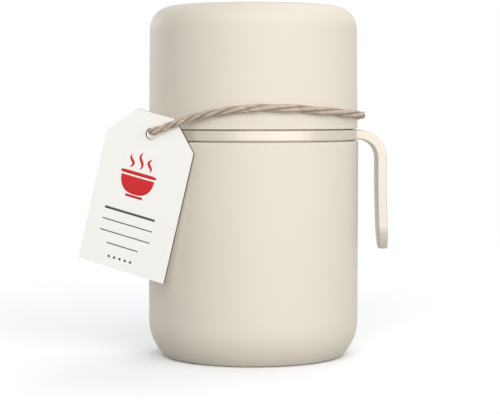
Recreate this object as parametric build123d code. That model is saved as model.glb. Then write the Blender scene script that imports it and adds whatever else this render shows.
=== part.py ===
from build123d import *
from math import atan2, cos, degrees, pi, radians, sin, sqrt, tan
import os

os.makedirs("parts", exist_ok=True)

# An insulated food jar: a double-walled steel body, a screw stopper with a pressure valve,
# a tall screw cap, a handle on a band between the two, and a card tag tied on with twine.
# The origin is on the axis, on the table. +Z is up and the handle is on the +X side.

# ---- driving dimensions, in millimetres -----------------------------------------------
# Painted outer body
BODY_R = 47.0
BODY_TOP = 96.4  # height of the shoulder that carries the band
BODY_WALL = 0.8
SHOULDER_ROUND = 1.2
TAPER_TOP = 16.5  # below this height the wall curves in towards the base
BASE_IN = 6.4  # how far the body's bottom edge is in from its wall

# Base: rubber foot, base plate, evacuation port and its seal
FOOT_H = 0.8  # how far the foot stands out below the body
FOOT_T = 2.35
FOOT_BORDER = 8.6  # from the body's bottom edge in to a shallow groove round the centre pad
FOOT_PAD_R = 14.0
FOOT_HOLLOW_H = 0.4
FOOT_EDGE = 0.35
PLATE_T = 0.8
PORT_R = 1.5
PORT_SEAL_R = 4.0
PORT_SEAL_H = 0.7
GETTER_R = 6.0
GETTER_H = 2.2
GETTER_OFFSET = 18.0

# Inner vessel
VACUUM_GAP = 3.7  # between the body's wall and the vessel's
LINER_WALL = 0.8
BASE_GAP = 1.8  # between the getter and the vessel
LINER_ROUND = 8.0
LEDGE_W = 2.8  # the rolled ledge that the stopper seals on
LEDGE_PROUD = 0.6  # how far it stands above the body's shoulder
LEDGE_H = 3.6
LEDGE_SLOPE_H = 4.9
NECK_WALL = 1.0
NECK_H = 19.6  # from the body's shoulder to the rim
FOIL_T = 0.2
FOIL_LOW = 2.8  # from the vessel's bottom round up to the foil
FOIL_HIGH = 4.5  # from the foil up to the slope under the ledge

# Threads: the same ridge on both fits
LEAD = 12.0
STARTS = 3
THREAD_TURN = 0.35  # how much of a turn each ridge takes
THREAD_DEPTH = 1.2
THREAD_ROOT_W = 2.2
THREAD_CREST_W = 1.2
THREAD_BITE = 0.2  # how deep a ridge's root is set in its wall
OUT_THREAD_UP = 4.25  # the neck's outer ridges start this far above the band
IN_THREAD_UP = 7.2  # its inner ridges start this far above the ledge
CAP_THREAD_DOWN = 1.2  # the cap's ridges start this far below the ones that they screw on
STOPPER_THREAD_DOWN = 1.4
CAP_THREAD_GAP = 0.4  # from a ridge's crest to the wall that it faces
STOPPER_THREAD_GAP = 0.5

# Band and strap handle
BAND_IN = 0.1  # how far the band stands in from the body's wall
BAND_H = 4.5
SEAM = 0.45  # the dark line above and below the band
BAND_SEAT_IN = 1.4  # how far its seat stands in from the round of the shoulder
BAND_EDGE = 0.4
STRAP_W = 20.0
STRAP_T = 4.3
STRAP_OUT = 12.3  # from the band's face to the strap's outer face
STRAP_BEND = 10.4  # bend radius at the middle of the strap's thickness
STRAP_DROP = 53.6  # from the band's top to the strap's end
STRAP_LIP_H = 38.0  # the stretch down to the end that leans outwards
STRAP_LIP_OUT = 1.2
STRAP_EDGE = 0.8

# Cap
TOTAL_H = 156.5
CAP_IN = 0.35  # how far the cap's bottom edge stands in from the body's wall
CAP_TAPER = 0.45  # how much less its radius is where its top round starts
CAP_WALL = 0.8
CAP_ROUND = 10.0
CAP_CROWN = 0.5
CAP_EDGE = 0.3
CAP_LINER_WALL = 1.8
CAP_LINER_GAP = 0.85  # between the cap's shell and its liner's wall
CAP_LINER_ROUND = 6.0
CAP_FLANGE_H = 2.6
CAP_FOAM_IN = 1.5  # from the cap's top round in to the foam
CAP_FOAM_T = 2.6
CAP_FOAM_GAP = 0.25  # between the foam and the edge of the shell's crown
CAP_SEAL_LAND = 0.6  # from the liner's bore to its seal
CAP_SEAL_W = 1.45
CAP_SEAL_H = 1.4

# Stopper
PLUG_GAP = 1.1  # between the plug and the ledge
PLUG_DROP = 2.4  # how far the plug reaches below the ledge
PLUG_FLOOR = 1.8
PLUG_WALL = 1.7
STOPPER_FLANGE_IN = 0.1  # how far the flange stands in from the neck's outside
STOPPER_FLANGE_H = 3.2
GASKET_LAP = 1.3  # how far the gasket lies on the ledge
GASKET_H = 2.0
COVER_T = 2.0
COVER_SKIRT = 2.4
KNOB_R = 27.0
KNOB_H = 3.6
KNOB_EDGE = 1.0
SCALLOPS = 8
SCALLOP_R = 6.5
SCALLOP_OUT = 4.0  # from the knob's edge out to a scallop's centre

# Pressure valve
STEM_R = 1.6
GUIDE_R = 4.2
WELL_R = 8.2
WELL_DEPTH = 7.0
WELL_FLOOR_T = 1.4
BUTTON_GAP = 0.5
BUTTON_PROUD = 1.4
BUTTON_T = 2.0
BUTTON_H = 4.4
BUTTON_WALL = 1.3
BUTTON_EDGE = 0.7
VALVE_HEAD_R = 5.5
VALVE_HEAD_H = 1.5
VALVE_SEAL_R = 5.2
VALVE_SEAL_H = 1.0
SPRING_R = 4.2
SPRING_WIRE = 0.6
SPRING_PITCH = 1.25

# Card tag
TAG_W = 41.5
TAG_L = 69.9
TAG_TOP_W = 18.0
TAG_SHOULDER = 12.2
TAG_T = 1.2
TAG_CORNER = 0.5
TAG_HOLE_R = 2.6
TAG_HOLE_DROP = 9.0  # hole centre below the top edge
TAG_HANG = 0.8  # the twine bears in the upper part of the hole
TAG_YAW = 20.0
TAG_ROLL = 14.1
TAG_CLEAR = 0.05  # the plane of the card's back passes this far outside of the body
TAG_ALONG = -28.6  # from where it passes nearest to the axis to the pivot
TAG_PIVOT_Z = 100.6

# Twine round the cap
TWINE_R = 1.5
KNOT_R = 3.0
KNOT_L = 9.6
KNOT_AT = 50.8
KNOT_Z = 106.4
KNOT_ROUND = 1.4
TAIL_R = 1.3
TAIL_L = 14.0
TAIL_TILT = 16.0

# Clearances
RUN_GAP = 0.3  # between pieces that turn or slide past each other
FIT_GAP = 0.1  # between pieces that are pushed together
SKIN_GAP = 0.05  # between pieces that are bonded or wrapped
SEAT_GAP = 0.1  # between a closed seal and its seat

# ---- worked out from the dimensions above ---------------------------------------------
# Radii, from the body's wall inwards
CAP_R = BODY_R - CAP_IN
CAP_TOP_R = CAP_R - CAP_TAPER
CAP_LINER_R = CAP_R - CAP_WALL - CAP_LINER_GAP
CAP_BORE_R = CAP_LINER_R - CAP_LINER_WALL
CAP_SEAL_IN_R = CAP_BORE_R + CAP_SEAL_LAND
CAP_FOAM_R = CAP_TOP_R - CAP_ROUND - CAP_FOAM_IN
BAND_R = BODY_R - BAND_IN
BAND_SEAT_R = BODY_R - SHOULDER_ROUND - BAND_SEAT_IN
STRAP_REACH = BAND_R + STRAP_OUT
LINER_R = BODY_R - BODY_WALL - VACUUM_GAP
NECK_R = CAP_BORE_R - CAP_THREAD_GAP - THREAD_DEPTH
NECK_IN_R = NECK_R - NECK_WALL
LEDGE_R = NECK_IN_R - LEDGE_W
STOPPER_R = NECK_IN_R - THREAD_DEPTH - STOPPER_THREAD_GAP
STOPPER_FLANGE_R = NECK_R - STOPPER_FLANGE_IN
PLUG_R = LEDGE_R - PLUG_GAP
GASKET_R = LEDGE_R + GASKET_LAP
BUTTON_R = WELL_R - BUTTON_GAP
SCALLOP_AT = KNOB_R + SCALLOP_OUT
BASE_R = BODY_R - BASE_IN
TAPER_ARC = ((TAPER_TOP - FOOT_H) ** 2 + BASE_IN**2) / (2 * BASE_IN)
FOOT_HOLLOW_R = BASE_R - FOOT_BORDER

# Heights, from the table up
PLATE_BOTTOM = FOOT_T + SKIN_GAP
LINER_BOTTOM = PLATE_BOTTOM + PLATE_T + GETTER_H + BASE_GAP
LEDGE_Z = BODY_TOP + LEDGE_PROUD
FOIL_BOTTOM = LINER_BOTTOM + LINER_ROUND + FOIL_LOW
FOIL_TOP = LEDGE_Z - LEDGE_H - LEDGE_SLOPE_H - FOIL_HIGH
BAND_BOTTOM = BODY_TOP + SEAM
BAND_TOP = BAND_BOTTOM + BAND_H
STRAP_END_Z = BAND_TOP - STRAP_DROP
NECK_TOP = BODY_TOP + NECK_H
CAP_BOTTOM = BAND_TOP + SEAM
CAP_LINER_BOTTOM = CAP_BOTTOM + FIT_GAP
CAP_FOAM_TOP = TOTAL_H - CAP_WALL - CAP_CROWN - CAP_FOAM_GAP
CAP_LINER_TOP = CAP_FOAM_TOP - CAP_FOAM_T - SKIN_GAP
CAP_CEILING = CAP_LINER_TOP - CAP_LINER_WALL

# Threads
PITCH = LEAD / STARTS
RISE = LEAD * THREAD_TURN
NECK_THREAD_OUT_Z = BAND_TOP + OUT_THREAD_UP
NECK_THREAD_IN_Z = LEDGE_Z + IN_THREAD_UP
CAP_THREAD_Z = NECK_THREAD_OUT_Z - CAP_THREAD_DOWN
STOPPER_THREAD_Z = NECK_THREAD_IN_Z - STOPPER_THREAD_DOWN

# Stopper and valve
PLUG_BOTTOM = LEDGE_Z - PLUG_DROP
STOPPER_SHOULDER = NECK_TOP + RUN_GAP
STOPPER_TOP = STOPPER_SHOULDER + STOPPER_FLANGE_H
GASKET_BOTTOM = LEDGE_Z + SEAT_GAP
GASKET_TOP = GASKET_BOTTOM + GASKET_H
STEM_BORE = STEM_R + RUN_GAP
COVER_TOP = STOPPER_TOP + SKIN_GAP + COVER_T
KNOB_TOP = COVER_TOP + KNOB_H
WELL_FLOOR = KNOB_TOP - WELL_DEPTH
GUIDE_TOP = WELL_FLOOR - WELL_FLOOR_T - SKIN_GAP
BUTTON_TOP = KNOB_TOP + BUTTON_PROUD
BUTTON_UNDER = BUTTON_TOP - BUTTON_T
VALVE_SEAL_TOP = PLUG_BOTTOM - SEAT_GAP
VALVE_HEAD_TOP = VALVE_SEAL_TOP - VALVE_SEAL_H

# Card tag
TAG_OFF = BODY_R + TAG_CLEAR + TAG_T / 2
OUT = Vector(-sin(radians(TAG_YAW)), -cos(radians(TAG_YAW)), 0)  # the card faces this way
ALONG = Vector(cos(radians(TAG_YAW)), -sin(radians(TAG_YAW)), 0)
TAG_PIVOT = OUT * TAG_OFF + ALONG * TAG_ALONG + Vector(0, 0, TAG_PIVOT_Z)

# The twine's route, from its knot behind the cap, round the right side and the front,
# through the tag's hole and back round the left side: azimuth in degrees from the front
# towards the handle, distance from the axis, height.
TWINE_ROUTE = [
    (174.4, 49.57, 106.5),
    (151.8, 49.54, 106.7),
    (129.4, 49.54, 107.0),
    (107.0, 49.54, 107.4),
    (84.6, 49.54, 107.8),
    (62.2, 49.54, 108.5),
    (39.8, 49.54, 109.7),
    (17.4, 49.54, 111.0),
    (-5.0, 49.54, 111.0),
    (-31.6, 50.45, 107.0),
    (-43.0, 54.54, 102.7),
    (-49.1, 58.80, 100.6),
    (-53.2, 52.25, 100.7),
    (-64.0, 49.95, 101.9),
    (-86.6, 49.50, 103.9),
    (-108.4, 49.50, 104.9),
    (-130.2, 49.50, 105.6),
    (-152.1, 49.50, 106.0),
    (-174.4, 49.57, 106.3),
]
ARC_SHARE = 0.45  # how much of the shorter run beside it each arc takes


def turned(*outline):
    """Turn a closed outline of (radius, height) or (radius, height, fillet) points."""
    points = [corner[:2] for corner in outline]
    fillets = [corner[2] if len(corner) == 3 else 0 for corner in outline]
    path = FilletPolyline(*points, radius=fillets, close=True)
    return revolve(Plane.XZ * make_face(path), Axis.Z)


def turned_edges(edges):
    """Turn a closed outline that is given as edges in (radius, height)."""
    return revolve(Plane.XZ * make_face(edges), Axis.Z)


def ring(inner, outer, bottom, top):
    """A plain ring, or a disc when the inner radius is 0."""
    solid = Pos(0, 0, bottom) * extrude(Circle(outer), top - bottom)
    if inner > 0:
        solid -= Pos(0, 0, bottom) * extrude(Circle(inner), top - bottom)
    return solid


def ridges(radius, direction, bottom, phase):
    """The thread's ridges on a wall of that radius; direction is 1 outwards and -1 inwards."""
    path = Helix(LEAD, RISE, radius, center=(0, 0, bottom))
    crest = direction * THREAD_DEPTH
    root = -direction * THREAD_BITE
    section = Plane(path @ 0, x_dir=(1, 0, 0), z_dir=path % 0) * make_face(
        Polyline(
            (root, -THREAD_ROOT_W / 2),
            (crest, -THREAD_CREST_W / 2),
            (crest, THREAD_CREST_W / 2),
            (root, THREAD_ROOT_W / 2),
            close=True,
        )
    )
    ridge = sweep(section, path=path, is_frenet=True)
    return [Rot(0, 0, phase + 360 * start / STARTS) * ridge for start in range(STARTS)]


def mating_phase(bottom, other_bottom):
    """The turn that sets a thread half a pitch below the one that it screws on."""
    return (bottom - other_bottom + PITCH / 2) / LEAD * 360


def taper_inside(height):
    """Inner radius of the outer body's curved-in wall at that height."""
    arc = TAPER_ARC - BODY_WALL
    return BODY_R - TAPER_ARC + sqrt(arc**2 - (TAPER_TOP - height) ** 2)


def shell_side(wall):
    """One side of the outer body, from its bottom edge to its neck, set in by the wall."""
    radius = BODY_R - wall
    arc = TAPER_ARC - wall
    down = degrees(atan2(TAPER_TOP - FOOT_H, sqrt(arc**2 - (TAPER_TOP - FOOT_H) ** 2)))
    round_at = (BODY_R - SHOULDER_ROUND, BODY_TOP - SHOULDER_ROUND)
    return [
        CenterArc((BODY_R - TAPER_ARC, TAPER_TOP), arc, -down, down),
        Line((radius, TAPER_TOP), (radius, round_at[1])),
        CenterArc(round_at, SHOULDER_ROUND - wall, 0, 90),
        Line((round_at[0], BODY_TOP - wall), (NECK_R, BODY_TOP - wall)),
    ]


def outer_shell():
    outside, inside = shell_side(0), shell_side(BODY_WALL)
    ends = [
        Line(outside[0] @ 0, inside[0] @ 0),
        Line(outside[-1] @ 1, inside[-1] @ 1),
    ]
    return turned_edges(outside + inside + ends)


def base_plate():
    edge = taper_inside(PLATE_BOTTOM) - SKIN_GAP
    return ring(PORT_R, edge, PLATE_BOTTOM, PLATE_BOTTOM + PLATE_T)


def vacuum_seal():
    stem = ring(0, PORT_R - SKIN_GAP, PLATE_BOTTOM, PLATE_BOTTOM + PLATE_T)
    return stem + ring(0, PORT_SEAL_R, PLATE_BOTTOM - PORT_SEAL_H, PLATE_BOTTOM)


def getter():
    can = ring(0, GETTER_R, PLATE_BOTTOM + PLATE_T, PLATE_BOTTOM + PLATE_T + GETTER_H)
    return Pos(GETTER_OFFSET, 0, 0) * can


def base_foot():
    edge = taper_inside(FOOT_H) - RUN_GAP
    foot = turned((0, 0), (edge, 0, FOOT_EDGE), (edge, FOOT_T), (0, FOOT_T))
    foot -= ring(FOOT_PAD_R, FOOT_HOLLOW_R, 0, FOOT_HOLLOW_H)
    pocket = PLATE_BOTTOM - PORT_SEAL_H - FIT_GAP
    return foot - ring(0, PORT_SEAL_R + RUN_GAP, pocket, FOOT_T)


def inner_liner():
    inside = LINER_R - LINER_WALL
    ledge_out = LEDGE_R + LINER_WALL
    under = LEDGE_Z - LEDGE_H
    slope = under - LEDGE_SLOPE_H
    rim = NECK_WALL * 0.45
    vessel = turned(
        (0, LINER_BOTTOM),
        (LINER_R, LINER_BOTTOM, LINER_ROUND),
        (LINER_R, slope),
        (ledge_out, under),
        (ledge_out, LEDGE_Z - LINER_WALL),
        (NECK_R, LEDGE_Z - LINER_WALL),
        (NECK_R, NECK_TOP, rim),
        (NECK_IN_R, NECK_TOP, rim),
        (NECK_IN_R, LEDGE_Z),
        (LEDGE_R, LEDGE_Z),
        (LEDGE_R, under),
        (inside, slope),
        (inside, LINER_BOTTOM + LINER_WALL, LINER_ROUND - LINER_WALL),
        (0, LINER_BOTTOM + LINER_WALL),
    )
    vessel += ridges(NECK_R, 1, NECK_THREAD_OUT_Z, 0)
    return vessel + ridges(NECK_IN_R, -1, NECK_THREAD_IN_Z, 0)


def copper_foil():
    inner = LINER_R + SKIN_GAP
    return ring(inner, inner + FOIL_T, FOIL_BOTTOM, FOIL_TOP)


def strap():
    """The handle's bent strap: a side view swept across its width, cut to a round-ended tongue."""
    inner = STRAP_REACH - STRAP_T
    outer_bend = STRAP_BEND + STRAP_T / 2
    inner_bend = STRAP_BEND - STRAP_T / 2
    top = (BAND_TOP + BAND_BOTTOM + STRAP_T) / 2
    bend_x = STRAP_REACH - outer_bend
    bend_z = top - outer_bend
    lip_z = STRAP_END_Z + STRAP_LIP_H
    foot_z = STRAP_END_Z - STRAP_EDGE  # the side view runs past the tongue's round end
    lip_middle = (lip_z + foot_z) / 2
    lip_mid_out = STRAP_LIP_OUT / 4  # an arc is a quarter of its way out at half its height
    side = make_face(
        [
            Line((BAND_SEAT_R, top), (bend_x, top)),
            CenterArc((bend_x, bend_z), outer_bend, 0, 90),
            Line((STRAP_REACH, bend_z), (STRAP_REACH, lip_z)),
            ThreePointArc(
                (STRAP_REACH, lip_z),
                (STRAP_REACH + lip_mid_out, lip_middle),
                (STRAP_REACH + STRAP_LIP_OUT, foot_z),
            ),
            Line((STRAP_REACH + STRAP_LIP_OUT, foot_z), (inner + STRAP_LIP_OUT, foot_z)),
            ThreePointArc(
                (inner + STRAP_LIP_OUT, foot_z), (inner + lip_mid_out, lip_middle), (inner, lip_z)
            ),
            Line((inner, lip_z), (inner, bend_z)),
            CenterArc((bend_x, bend_z), inner_bend, 0, 90),
            Line((bend_x, top - STRAP_T), (BAND_SEAT_R, top - STRAP_T)),
            Line((BAND_SEAT_R, top - STRAP_T), (BAND_SEAT_R, top)),
        ]
    )
    bent = extrude(Plane.XZ * side, STRAP_W / 2, both=True)
    round_z = STRAP_END_Z + STRAP_W / 2
    tongue = Pos(0, round_z) * Circle(STRAP_W / 2)
    tongue += Pos(0, (round_z + BAND_TOP) / 2) * Rectangle(STRAP_W, BAND_TOP - round_z)
    bent &= extrude(Plane.YZ * tongue, STRAP_REACH + STRAP_LIP_OUT + STRAP_EDGE)
    lengthways = bent.edges().filter_by(Axis.Y, reverse=True)
    return fillet([edge for edge in lengthways if edge.center().X > bend_x], STRAP_EDGE)


def handle_band():
    bore = NECK_R + FIT_GAP
    band = turned(
        (bore, BODY_TOP),
        (BAND_SEAT_R, BODY_TOP),
        (BAND_SEAT_R, BAND_BOTTOM),
        (BAND_R, BAND_BOTTOM, BAND_EDGE),
        (BAND_R, BAND_TOP, BAND_EDGE),
        (bore, BAND_TOP),
    )
    return band + strap()


def cap_side(wall):
    """One side of the cap's painted shell, from its bottom edge to the axis."""
    round_top = TOTAL_H - CAP_CROWN - CAP_ROUND
    crown_r = CAP_TOP_R - CAP_ROUND
    crown_arc = (crown_r**2 + CAP_CROWN**2) / (2 * CAP_CROWN) - wall
    tilt = degrees(atan2(crown_r, crown_arc + wall - CAP_CROWN))
    corner = (crown_r, round_top)
    side_end = (CAP_TOP_R - wall, round_top)
    rounded = CenterArc(corner, CAP_ROUND - wall, 0, 90)
    crown = CenterArc((0, TOTAL_H - wall - crown_arc), crown_arc, 90 - tilt, tilt)
    return [
        Line((CAP_R - wall, CAP_BOTTOM), side_end),
        rounded,
        Line(rounded @ 1, crown @ 0),
        crown,
    ]


def cap_shell():
    edges = []
    for wall in (0, CAP_WALL):
        edges += [edge for edge in cap_side(wall) if edge.length > 0.01]
    edges.append(Line((CAP_R, CAP_BOTTOM), (CAP_R - CAP_WALL, CAP_BOTTOM)))
    edges.append(Line((0, TOTAL_H), (0, TOTAL_H - CAP_WALL)))
    shell = turned_edges(edges)
    rim = shell.edges().filter_by(GeomType.CIRCLE).group_by(Axis.Z)[0]
    return fillet(rim, CAP_EDGE)


def cap_liner():
    flange_r = CAP_R - CAP_WALL - FIT_GAP
    flange_top = CAP_LINER_BOTTOM + CAP_FLANGE_H
    groove_out = CAP_SEAL_IN_R + CAP_SEAL_W
    groove_top = CAP_LINER_BOTTOM + CAP_SEAL_H - RUN_GAP + SKIN_GAP
    liner = turned(
        (CAP_BORE_R, CAP_LINER_BOTTOM),
        (CAP_SEAL_IN_R, CAP_LINER_BOTTOM),
        (CAP_SEAL_IN_R, groove_top),
        (groove_out, groove_top),
        (groove_out, CAP_LINER_BOTTOM),
        (flange_r, CAP_LINER_BOTTOM),
        (flange_r, flange_top),
        (CAP_LINER_R, flange_top + flange_r - CAP_LINER_R),
        (CAP_LINER_R, CAP_LINER_TOP, CAP_LINER_ROUND + CAP_LINER_WALL),
        (0, CAP_LINER_TOP),
        (0, CAP_CEILING),
        (CAP_BORE_R, CAP_CEILING, CAP_LINER_ROUND),
    )
    phase = mating_phase(CAP_THREAD_Z, NECK_THREAD_OUT_Z)
    return liner + ridges(CAP_BORE_R, -1, CAP_THREAD_Z, phase)


def cap_foam():
    return ring(0, CAP_FOAM_R, CAP_LINER_TOP + SKIN_GAP, CAP_FOAM_TOP)


def cap_seal():
    bottom = CAP_LINER_BOTTOM - RUN_GAP
    inner = CAP_SEAL_IN_R + SKIN_GAP
    outer = CAP_SEAL_IN_R + CAP_SEAL_W - SKIN_GAP
    top = bottom + CAP_SEAL_H
    lip = CAP_SEAL_W * 0.3
    return turned((inner, bottom, lip), (outer, bottom, lip), (outer, top), (inner, top))


def stopper_body():
    plug_in = PLUG_R - PLUG_WALL
    wall_in = STOPPER_R - PLUG_WALL
    floor = PLUG_BOTTOM + PLUG_FLOOR
    step = GASKET_TOP + SEAT_GAP
    body = turned(
        (STEM_BORE, PLUG_BOTTOM),
        (PLUG_R, PLUG_BOTTOM, PLUG_FLOOR / 2),
        (PLUG_R, step),
        (STOPPER_R, step),
        (STOPPER_R, STOPPER_SHOULDER),
        (STOPPER_FLANGE_R, STOPPER_SHOULDER, KNOB_EDGE / 2),
        (STOPPER_FLANGE_R, STOPPER_TOP),
        (wall_in, STOPPER_TOP),
        (wall_in, step + PLUG_WALL),
        (plug_in, step),
        (plug_in, floor),
        (GUIDE_R, floor),
        (GUIDE_R, GUIDE_TOP),
        (STEM_BORE, GUIDE_TOP),
    )
    phase = mating_phase(STOPPER_THREAD_Z, NECK_THREAD_IN_Z)
    return body + ridges(STOPPER_R, 1, STOPPER_THREAD_Z, phase)


def stopper_foam():
    bottom = PLUG_BOTTOM + PLUG_FLOOR + SKIN_GAP
    top = STOPPER_TOP - COVER_SKIRT - RUN_GAP
    block = ring(0, PLUG_R - PLUG_WALL - RUN_GAP, bottom, top)
    block -= ring(0, GUIDE_R + RUN_GAP, bottom, top)
    well = WELL_FLOOR - WELL_FLOOR_T - RUN_GAP
    return block - ring(0, WELL_R + WELL_FLOOR_T + RUN_GAP, well, top)


def stopper_cover():
    bottom = STOPPER_TOP + SKIN_GAP
    skirt_r = STOPPER_R - PLUG_WALL - FIT_GAP
    well_out = WELL_R + WELL_FLOOR_T
    well_under = WELL_FLOOR - WELL_FLOOR_T
    cover = turned(
        (STEM_BORE, well_under),
        (well_out, well_under),
        (well_out, bottom),
        (skirt_r - COVER_T, bottom),
        (skirt_r - COVER_T, bottom - COVER_SKIRT),
        (skirt_r, bottom - COVER_SKIRT),
        (skirt_r, bottom),
        (STOPPER_FLANGE_R, bottom),
        (STOPPER_FLANGE_R, COVER_TOP, KNOB_EDGE),
        (KNOB_R, COVER_TOP),
        (KNOB_R, KNOB_TOP, KNOB_EDGE),
        (WELL_R, KNOB_TOP, BUTTON_EDGE),
        (WELL_R, WELL_FLOOR),
        (STEM_BORE, WELL_FLOOR),
    )
    scallop = Pos(SCALLOP_AT, 0, COVER_TOP) * extrude(Circle(SCALLOP_R), KNOB_H * 2)
    for turn in range(SCALLOPS):
        cover -= Rot(0, 0, (turn + 0.5) * 360 / SCALLOPS) * scallop
    return cover


def stopper_gasket():
    lip = GASKET_H * 0.3
    inner = PLUG_R + 2 * SEAT_GAP
    return turned(
        (inner, GASKET_BOTTOM),
        (GASKET_R, GASKET_BOTTOM, lip),
        (GASKET_R, GASKET_TOP, lip),
        (inner, GASKET_TOP),
    )


def valve_button():
    inner = BUTTON_R - BUTTON_WALL
    bottom = BUTTON_TOP - BUTTON_H
    return turned(
        (0, BUTTON_UNDER),
        (inner, BUTTON_UNDER),
        (inner, bottom),
        (BUTTON_R, bottom),
        (BUTTON_R, BUTTON_TOP, BUTTON_EDGE),
        (0, BUTTON_TOP),
    )


def valve_stem():
    head = ring(0, VALVE_HEAD_R, VALVE_HEAD_TOP - VALVE_HEAD_H, VALVE_HEAD_TOP)
    return head + ring(0, STEM_R, VALVE_HEAD_TOP, BUTTON_UNDER)


def valve_seal():
    return ring(STEM_R + SKIN_GAP, VALVE_SEAL_R, VALVE_HEAD_TOP, VALVE_SEAL_TOP)


def valve_spring():
    wire = SPRING_WIRE / 2
    bottom = WELL_FLOOR + wire + SKIN_GAP
    height = BUTTON_UNDER - wire - SKIN_GAP - bottom
    path = Helix(SPRING_PITCH, height, SPRING_R, center=(0, 0, bottom))
    section = Plane(path @ 0, x_dir=(1, 0, 0), z_dir=path % 0) * Circle(wire)
    return sweep(section, path=path, is_frenet=True)


def hang_tag():
    face = Plane(
        TAG_PIVOT,
        x_dir=ALONG * cos(radians(TAG_ROLL)) + Vector(0, 0, -sin(radians(TAG_ROLL))),
        z_dir=OUT,
    )
    top = TAG_HOLE_DROP - TAG_HANG
    outline = [
        (-TAG_TOP_W / 2, top),
        (TAG_TOP_W / 2, top),
        (TAG_W / 2, top - TAG_SHOULDER),
        (TAG_W / 2, top - TAG_L),
        (-TAG_W / 2, top - TAG_L),
        (-TAG_W / 2, top - TAG_SHOULDER),
    ]
    card = make_face(FilletPolyline(*outline, radius=TAG_CORNER, close=True))
    card -= Pos(0, -TAG_HANG) * Circle(TAG_HOLE_R)
    return extrude(face * card, TAG_T / 2, both=True)


def route_points():
    """The twine's route as points in the jar's frame."""
    return [
        Vector(r * sin(radians(azimuth)), -r * cos(radians(azimuth)), z)
        for azimuth, r, z in TWINE_ROUTE
    ]


def route_radii(points):
    """The radius of the arc at each corner, as large as the shorter run beside it allows."""
    radii = []
    for before, corner, after in zip(points, points[1:], points[2:]):
        arriving, leaving = corner - before, after - corner
        half_turn = radians(arriving.get_angle(leaving)) / 2
        radii.append(ARC_SHARE * min(arriving.length, leaving.length) / tan(half_turn))
    return radii


def twine():
    points = route_points()
    radii = route_radii(points)
    print("twine arcs:", [round(r, 1) for r in radii])
    path = FilletPolyline(*points, radius=radii)
    section = Plane(path @ 0, z_dir=path % 0) * Circle(TWINE_R)
    tube = sweep(section, path=path)
    ideal = pi * TWINE_R**2 * path.length
    print(f"twine length {path.length:.1f}, volume {tube.volume:.1f} against {ideal:.1f}")
    return tube


def twine_knot():
    """A barrel knot behind the cap, with the twine's two short ends hanging from it."""
    half = KNOT_L / 2
    side = [
        (0, -half),
        (KNOT_R, -half, KNOT_ROUND),
        (KNOT_R, half, KNOT_ROUND),
        (0, half),
    ]
    knot = Rot(0, 90, 0) * turned(*side)
    for lean in (-1, 1):
        tail = Rot(0, lean * TAIL_TILT, 0) * Pos(0, 0, -TAIL_L) * extrude(Circle(TAIL_R), TAIL_L)
        knot += Pos(lean * half / 2, 0, 0) * tail
    return Pos(0, KNOT_AT, KNOT_Z) * knot


PARTS = {
    "outer_shell": outer_shell,
    "base_plate": base_plate,
    "vacuum_seal": vacuum_seal,
    "getter": getter,
    "base_foot": base_foot,
    "inner_liner": inner_liner,
    "copper_foil": copper_foil,
    "handle_band": handle_band,
    "cap_shell": cap_shell,
    "cap_liner": cap_liner,
    "cap_foam": cap_foam,
    "cap_seal": cap_seal,
    "stopper_body": stopper_body,
    "stopper_foam": stopper_foam,
    "stopper_cover": stopper_cover,
    "stopper_gasket": stopper_gasket,
    "valve_button": valve_button,
    "valve_stem": valve_stem,
    "valve_seal": valve_seal,
    "valve_spring": valve_spring,
    "hang_tag": hang_tag,
    "twine": twine,
    "twine_knot": twine_knot,
}

for name, build in PARTS.items():
    export_step(build(), f"parts/{name}.step")
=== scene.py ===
"""An insulated food jar: its finishes, its twine and card tag, and the studio that it stands in.

Lengths are in metres. The origin is on the jar's axis on the table, +Z is up, +X points towards the
handle and -Y towards the front, where the card tag hangs.
"""

import logging
import math
from collections.abc import Sequence
from dataclasses import dataclass
from enum import Enum

import bpy
import numpy as np
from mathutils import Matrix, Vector

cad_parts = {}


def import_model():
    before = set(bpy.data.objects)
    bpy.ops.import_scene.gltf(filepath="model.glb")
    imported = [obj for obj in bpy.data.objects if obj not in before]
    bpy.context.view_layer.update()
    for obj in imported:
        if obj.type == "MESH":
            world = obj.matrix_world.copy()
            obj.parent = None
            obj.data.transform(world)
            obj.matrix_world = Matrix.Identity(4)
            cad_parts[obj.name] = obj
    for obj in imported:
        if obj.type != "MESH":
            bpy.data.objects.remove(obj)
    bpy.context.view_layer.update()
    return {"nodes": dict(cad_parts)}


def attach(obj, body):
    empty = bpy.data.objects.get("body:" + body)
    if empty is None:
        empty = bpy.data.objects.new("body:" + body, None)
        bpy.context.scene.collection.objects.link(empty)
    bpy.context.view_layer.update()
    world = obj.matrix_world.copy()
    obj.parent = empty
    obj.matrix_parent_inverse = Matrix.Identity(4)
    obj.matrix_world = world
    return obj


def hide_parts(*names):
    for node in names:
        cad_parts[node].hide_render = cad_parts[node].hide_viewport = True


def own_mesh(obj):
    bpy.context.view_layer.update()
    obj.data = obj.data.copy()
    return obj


LOG = logging.getLogger("food_jar")
MM = 0.001
BULK = (0.3, 0.7)  # nearly all values of a soft noise lie between these

Array = np.ndarray
Colour = tuple[float, float, float]
Material = bpy.types.Material
Triple = tuple[float, float, float]
Pair = tuple[float, float]
Piece = bpy.types.Object
Socket = bpy.types.NodeSocket
Feed = Socket | float | Sequence[float]


# ---- surfaces ----


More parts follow.
